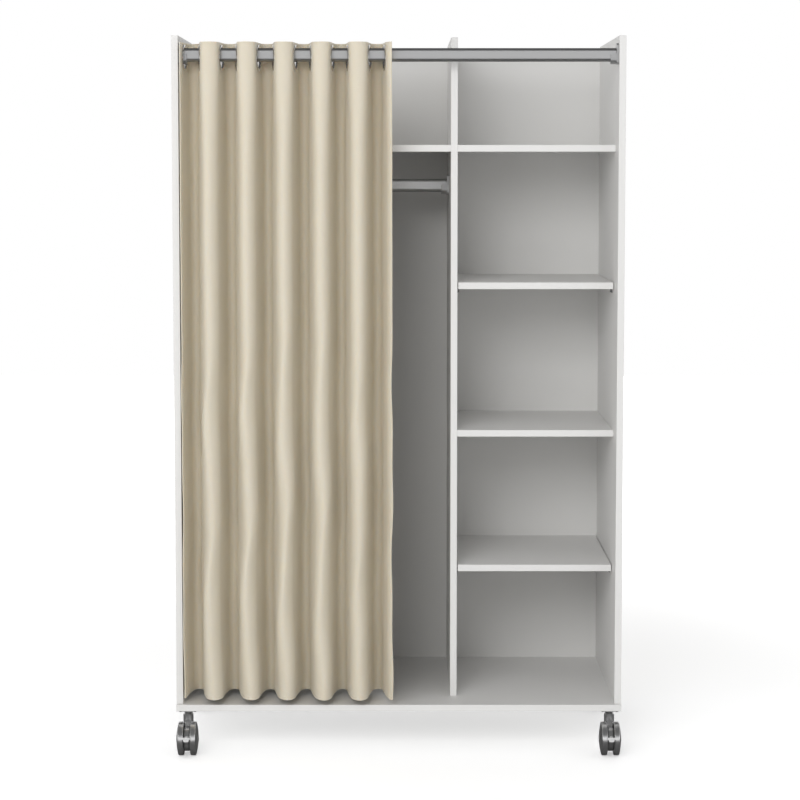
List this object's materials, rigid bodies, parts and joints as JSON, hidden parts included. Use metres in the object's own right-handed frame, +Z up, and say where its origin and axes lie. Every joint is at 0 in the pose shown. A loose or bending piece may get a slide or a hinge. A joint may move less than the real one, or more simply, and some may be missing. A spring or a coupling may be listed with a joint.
{
  "type": "open wardrobe",
  "caption": "Open wardrobe of white boards on twin-wheel castors, with shelves beside a hanging bay and a pleated eyelet curtain that slides on an oval rail across the front.",
  "frame": {"origin": "on the floor under the middle of the whole object's box", "axes": "+X to the right seen from the open front, -Y out of the open front, +Z up"},
  "size_m": [1, 0.5422, 1.606],
  "materials": {
    "white_board": "satin white melamine facing",
    "back_board": "white faced hardboard",
    "zinc_steel": "zinc plated",
    "dowel_wood": "bare beech",
    "pin_plastic": "grey moulded",
    "rail_steel": "satin silver lacquer",
    "bracket_steel": "satin silver",
    "curtain_fabric": "plain weave, warm beige",
    "eyelet_chrome": "dark polished chrome",
    "castor_plastic": "satin grey moulded"
  },
  "bodies": {
    "root": {"bottom_panel": "white_board", "side_panel_left": "white_board", "side_panel_right": "white_board", "divider_panel": "white_board", "top_shelf_left": "white_board", "top_shelf_right": "white_board", "fixed_shelf_middle": "white_board", "adjustable_shelf_upper": "white_board", "adjustable_shelf_lower": "white_board", "back_sheet_left": "back_board", "back_sheet_right": "back_board", "back_nails": "zinc_steel", "joint_screws": "zinc_steel", "bracket_screws": "zinc_steel", "castor_screws": "zinc_steel", "wood_dowels": "dowel_wood", "cam_fittings": "zinc_steel", "shelf_pins": "pin_plastic", "curtain_rail": "rail_steel", "hanging_rail": "rail_steel", "curtain_rail_bracket_left": "bracket_steel", "curtain_rail_bracket_right": "bracket_steel", "hanging_rail_bracket_left": "bracket_steel", "hanging_rail_bracket_right": "bracket_steel", "castor_front_left_plate": "zinc_steel", "castor_front_right_plate": "zinc_steel", "castor_rear_left_plate": "zinc_steel", "castor_rear_right_plate": "zinc_steel", "curtain_cloth": "curtain_fabric", "eyelet_01": "eyelet_chrome"},
    "castor_front_left_swivel": {"castor_front_left_housing": "castor_plastic", "castor_front_left_axle": "zinc_steel"},
    "castor_front_left_wheel_left": {"castor_front_left_wheel_left": "castor_plastic"},
    "castor_front_left_wheel_right": {"castor_front_left_wheel_right": "castor_plastic"},
    "castor_front_left_brake_lever": {"castor_front_left_brake_lever": "castor_plastic"},
    "castor_front_right_swivel": {"castor_front_right_housing": "castor_plastic", "castor_front_right_axle": "zinc_steel"},
    "castor_front_right_wheel_left": {"castor_front_right_wheel_left": "castor_plastic"},
    "castor_front_right_wheel_right": {"castor_front_right_wheel_right": "castor_plastic"},
    "castor_front_right_brake_lever": {"castor_front_right_brake_lever": "castor_plastic"},
    "castor_rear_left_swivel": {"castor_rear_left_housing": "castor_plastic", "castor_rear_left_axle": "zinc_steel"},
    "castor_rear_left_wheel_left": {"castor_rear_left_wheel_left": "castor_plastic"},
    "castor_rear_left_wheel_right": {"castor_rear_left_wheel_right": "castor_plastic"},
    "castor_rear_right_swivel": {"castor_rear_right_housing": "castor_plastic", "castor_rear_right_axle": "zinc_steel"},
    "castor_rear_right_wheel_left": {"castor_rear_right_wheel_left": "castor_plastic"},
    "castor_rear_right_wheel_right": {"castor_rear_right_wheel_right": "castor_plastic"},
    "eyelet_02": {"eyelet_02": "eyelet_chrome"},
    "eyelet_03": {"eyelet_03": "eyelet_chrome"},
    "eyelet_04": {"eyelet_04": "eyelet_chrome"},
    "eyelet_05": {"eyelet_05": "eyelet_chrome"},
    "eyelet_06": {"eyelet_06": "eyelet_chrome"},
    "eyelet_07": {"eyelet_07": "eyelet_chrome"},
    "eyelet_08": {"eyelet_08": "eyelet_chrome"},
    "eyelet_09": {"eyelet_09": "eyelet_chrome"},
    "eyelet_10": {"eyelet_10": "eyelet_chrome"},
    "eyelet_11": {"eyelet_11": "eyelet_chrome"},
    "eyelet_12": {"eyelet_12": "eyelet_chrome"}
  },
  "joints": [
    {"name": "castor_front_left_swivel_turn", "type": "hinge", "parent": "root", "child": "castor_front_left_swivel", "pos_m": [-0.475, -0.2034, 0.099], "axis": [0, 0, 1], "continuous": true},
    {"name": "castor_front_left_wheel_left_spin", "type": "hinge", "parent": "castor_front_left_swivel", "child": "castor_front_left_wheel_left", "pos_m": [-0.4825, -0.2284, 0.0375], "axis": [1, 0, 0], "continuous": true},
    {"name": "castor_front_left_wheel_right_spin", "type": "hinge", "parent": "castor_front_left_swivel", "child": "castor_front_left_wheel_right", "pos_m": [-0.4675, -0.2284, 0.0375], "axis": [1, 0, 0], "continuous": true},
    {"name": "castor_front_left_brake_press", "type": "hinge", "parent": "castor_front_left_swivel", "child": "castor_front_left_brake_lever", "pos_m": [-0.475, -0.2464, 0.0465], "axis": [1, 0, 0], "range_deg": [0, 12]},
    {"name": "castor_front_right_swivel_turn", "type": "hinge", "parent": "root", "child": "castor_front_right_swivel", "pos_m": [0.475, -0.2034, 0.099], "axis": [0, 0, 1], "continuous": true},
    {"name": "castor_front_right_wheel_left_spin", "type": "hinge", "parent": "castor_front_right_swivel", "child": "castor_front_right_wheel_left", "pos_m": [0.4675, -0.2284, 0.0375], "axis": [1, 0, 0], "continuous": true},
    {"name": "castor_front_right_wheel_right_spin", "type": "hinge", "parent": "castor_front_right_swivel", "child": "castor_front_right_wheel_right", "pos_m": [0.4825, -0.2284, 0.0375], "axis": [1, 0, 0], "continuous": true},
    {"name": "castor_front_right_brake_press", "type": "hinge", "parent": "castor_front_right_swivel", "child": "castor_front_right_brake_lever", "pos_m": [0.475, -0.2464, 0.0465], "axis": [1, 0, 0], "range_deg": [0, 12]},
    {"name": "castor_rear_left_swivel_turn", "type": "hinge", "parent": "root", "child": "castor_rear_left_swivel", "pos_m": [-0.475, 0.2416, 0.099], "axis": [0, 0, 1], "continuous": true},
    {"name": "castor_rear_left_wheel_left_spin", "type": "hinge", "parent": "castor_rear_left_swivel", "child": "castor_rear_left_wheel_left", "pos_m": [-0.4825, 0.2166, 0.0375], "axis": [1, 0, 0], "continuous": true},
    {"name": "castor_rear_left_wheel_right_spin", "type": "hinge", "parent": "castor_rear_left_swivel", "child": "castor_rear_left_wheel_right", "pos_m": [-0.4675, 0.2166, 0.0375], "axis": [1, 0, 0], "continuous": true},
    {"name": "castor_rear_right_swivel_turn", "type": "hinge", "parent": "root", "child": "castor_rear_right_swivel", "pos_m": [0.475, 0.2416, 0.099], "axis": [0, 0, 1], "continuous": true},
    {"name": "castor_rear_right_wheel_left_spin", "type": "hinge", "parent": "castor_rear_right_swivel", "child": "castor_rear_right_wheel_left", "pos_m": [0.4675, 0.2166, 0.0375], "axis": [1, 0, 0], "continuous": true},
    {"name": "castor_rear_right_wheel_right_spin", "type": "hinge", "parent": "castor_rear_right_swivel", "child": "castor_rear_right_wheel_right", "pos_m": [0.4825, 0.2166, 0.0375], "axis": [1, 0, 0], "continuous": true},
    {"name": "curtain_draw", "type": "slide", "parent": "root", "child": "eyelet_02", "axis": [1, 0, 0], "range_m": [-0.014, 0.044], "deforming": ["curtain_cloth"]},
    {"name": "curtain_follow_03", "type": "slide", "parent": "eyelet_02", "child": "eyelet_03", "axis": [1, 0, 0], "range_m": [-0.014, 0.044]},
    {"name": "curtain_follow_04", "type": "slide", "parent": "eyelet_03", "child": "eyelet_04", "axis": [1, 0, 0], "range_m": [-0.014, 0.044]},
    {"name": "curtain_follow_05", "type": "slide", "parent": "eyelet_04", "child": "eyelet_05", "axis": [1, 0, 0], "range_m": [-0.014, 0.044]},
    {"name": "curtain_follow_06", "type": "slide", "parent": "eyelet_05", "child": "eyelet_06", "axis": [1, 0, 0], "range_m": [-0.014, 0.044]},
    {"name": "curtain_follow_07", "type": "slide", "parent": "eyelet_06", "child": "eyelet_07", "axis": [1, 0, 0], "range_m": [-0.014, 0.044]},
    {"name": "curtain_follow_08", "type": "slide", "parent": "eyelet_07", "child": "eyelet_08", "axis": [1, 0, 0], "range_m": [-0.014, 0.044]},
    {"name": "curtain_follow_09", "type": "slide", "parent": "eyelet_08", "child": "eyelet_09", "axis": [1, 0, 0], "range_m": [-0.014, 0.044]},
    {"name": "curtain_follow_10", "type": "slide", "parent": "eyelet_09", "child": "eyelet_10", "axis": [1, 0, 0], "range_m": [-0.014, 0.044]},
    {"name": "curtain_follow_11", "type": "slide", "parent": "eyelet_10", "child": "eyelet_11", "axis": [1, 0, 0], "range_m": [-0.014, 0.044]},
    {"name": "curtain_follow_12", "type": "slide", "parent": "eyelet_11", "child": "eyelet_12", "axis": [1, 0, 0], "range_m": [-0.014, 0.044]}
  ],
  "couplings": [
    {"joint": "curtain_follow_03", "follows": "curtain_draw", "ratio": 1},
    {"joint": "curtain_follow_04", "follows": "curtain_draw", "ratio": 1},
    {"joint": "curtain_follow_05", "follows": "curtain_draw", "ratio": 1},
    {"joint": "curtain_follow_06", "follows": "curtain_draw", "ratio": 1},
    {"joint": "curtain_follow_07", "follows": "curtain_draw", "ratio": 1},
    {"joint": "curtain_follow_08", "follows": "curtain_draw", "ratio": 1},
    {"joint": "curtain_follow_09", "follows": "curtain_draw", "ratio": 1},
    {"joint": "curtain_follow_10", "follows": "curtain_draw", "ratio": 1},
    {"joint": "curtain_follow_11", "follows": "curtain_draw", "ratio": 1},
    {"joint": "curtain_follow_12", "follows": "curtain_draw", "ratio": 1}
  ]
}
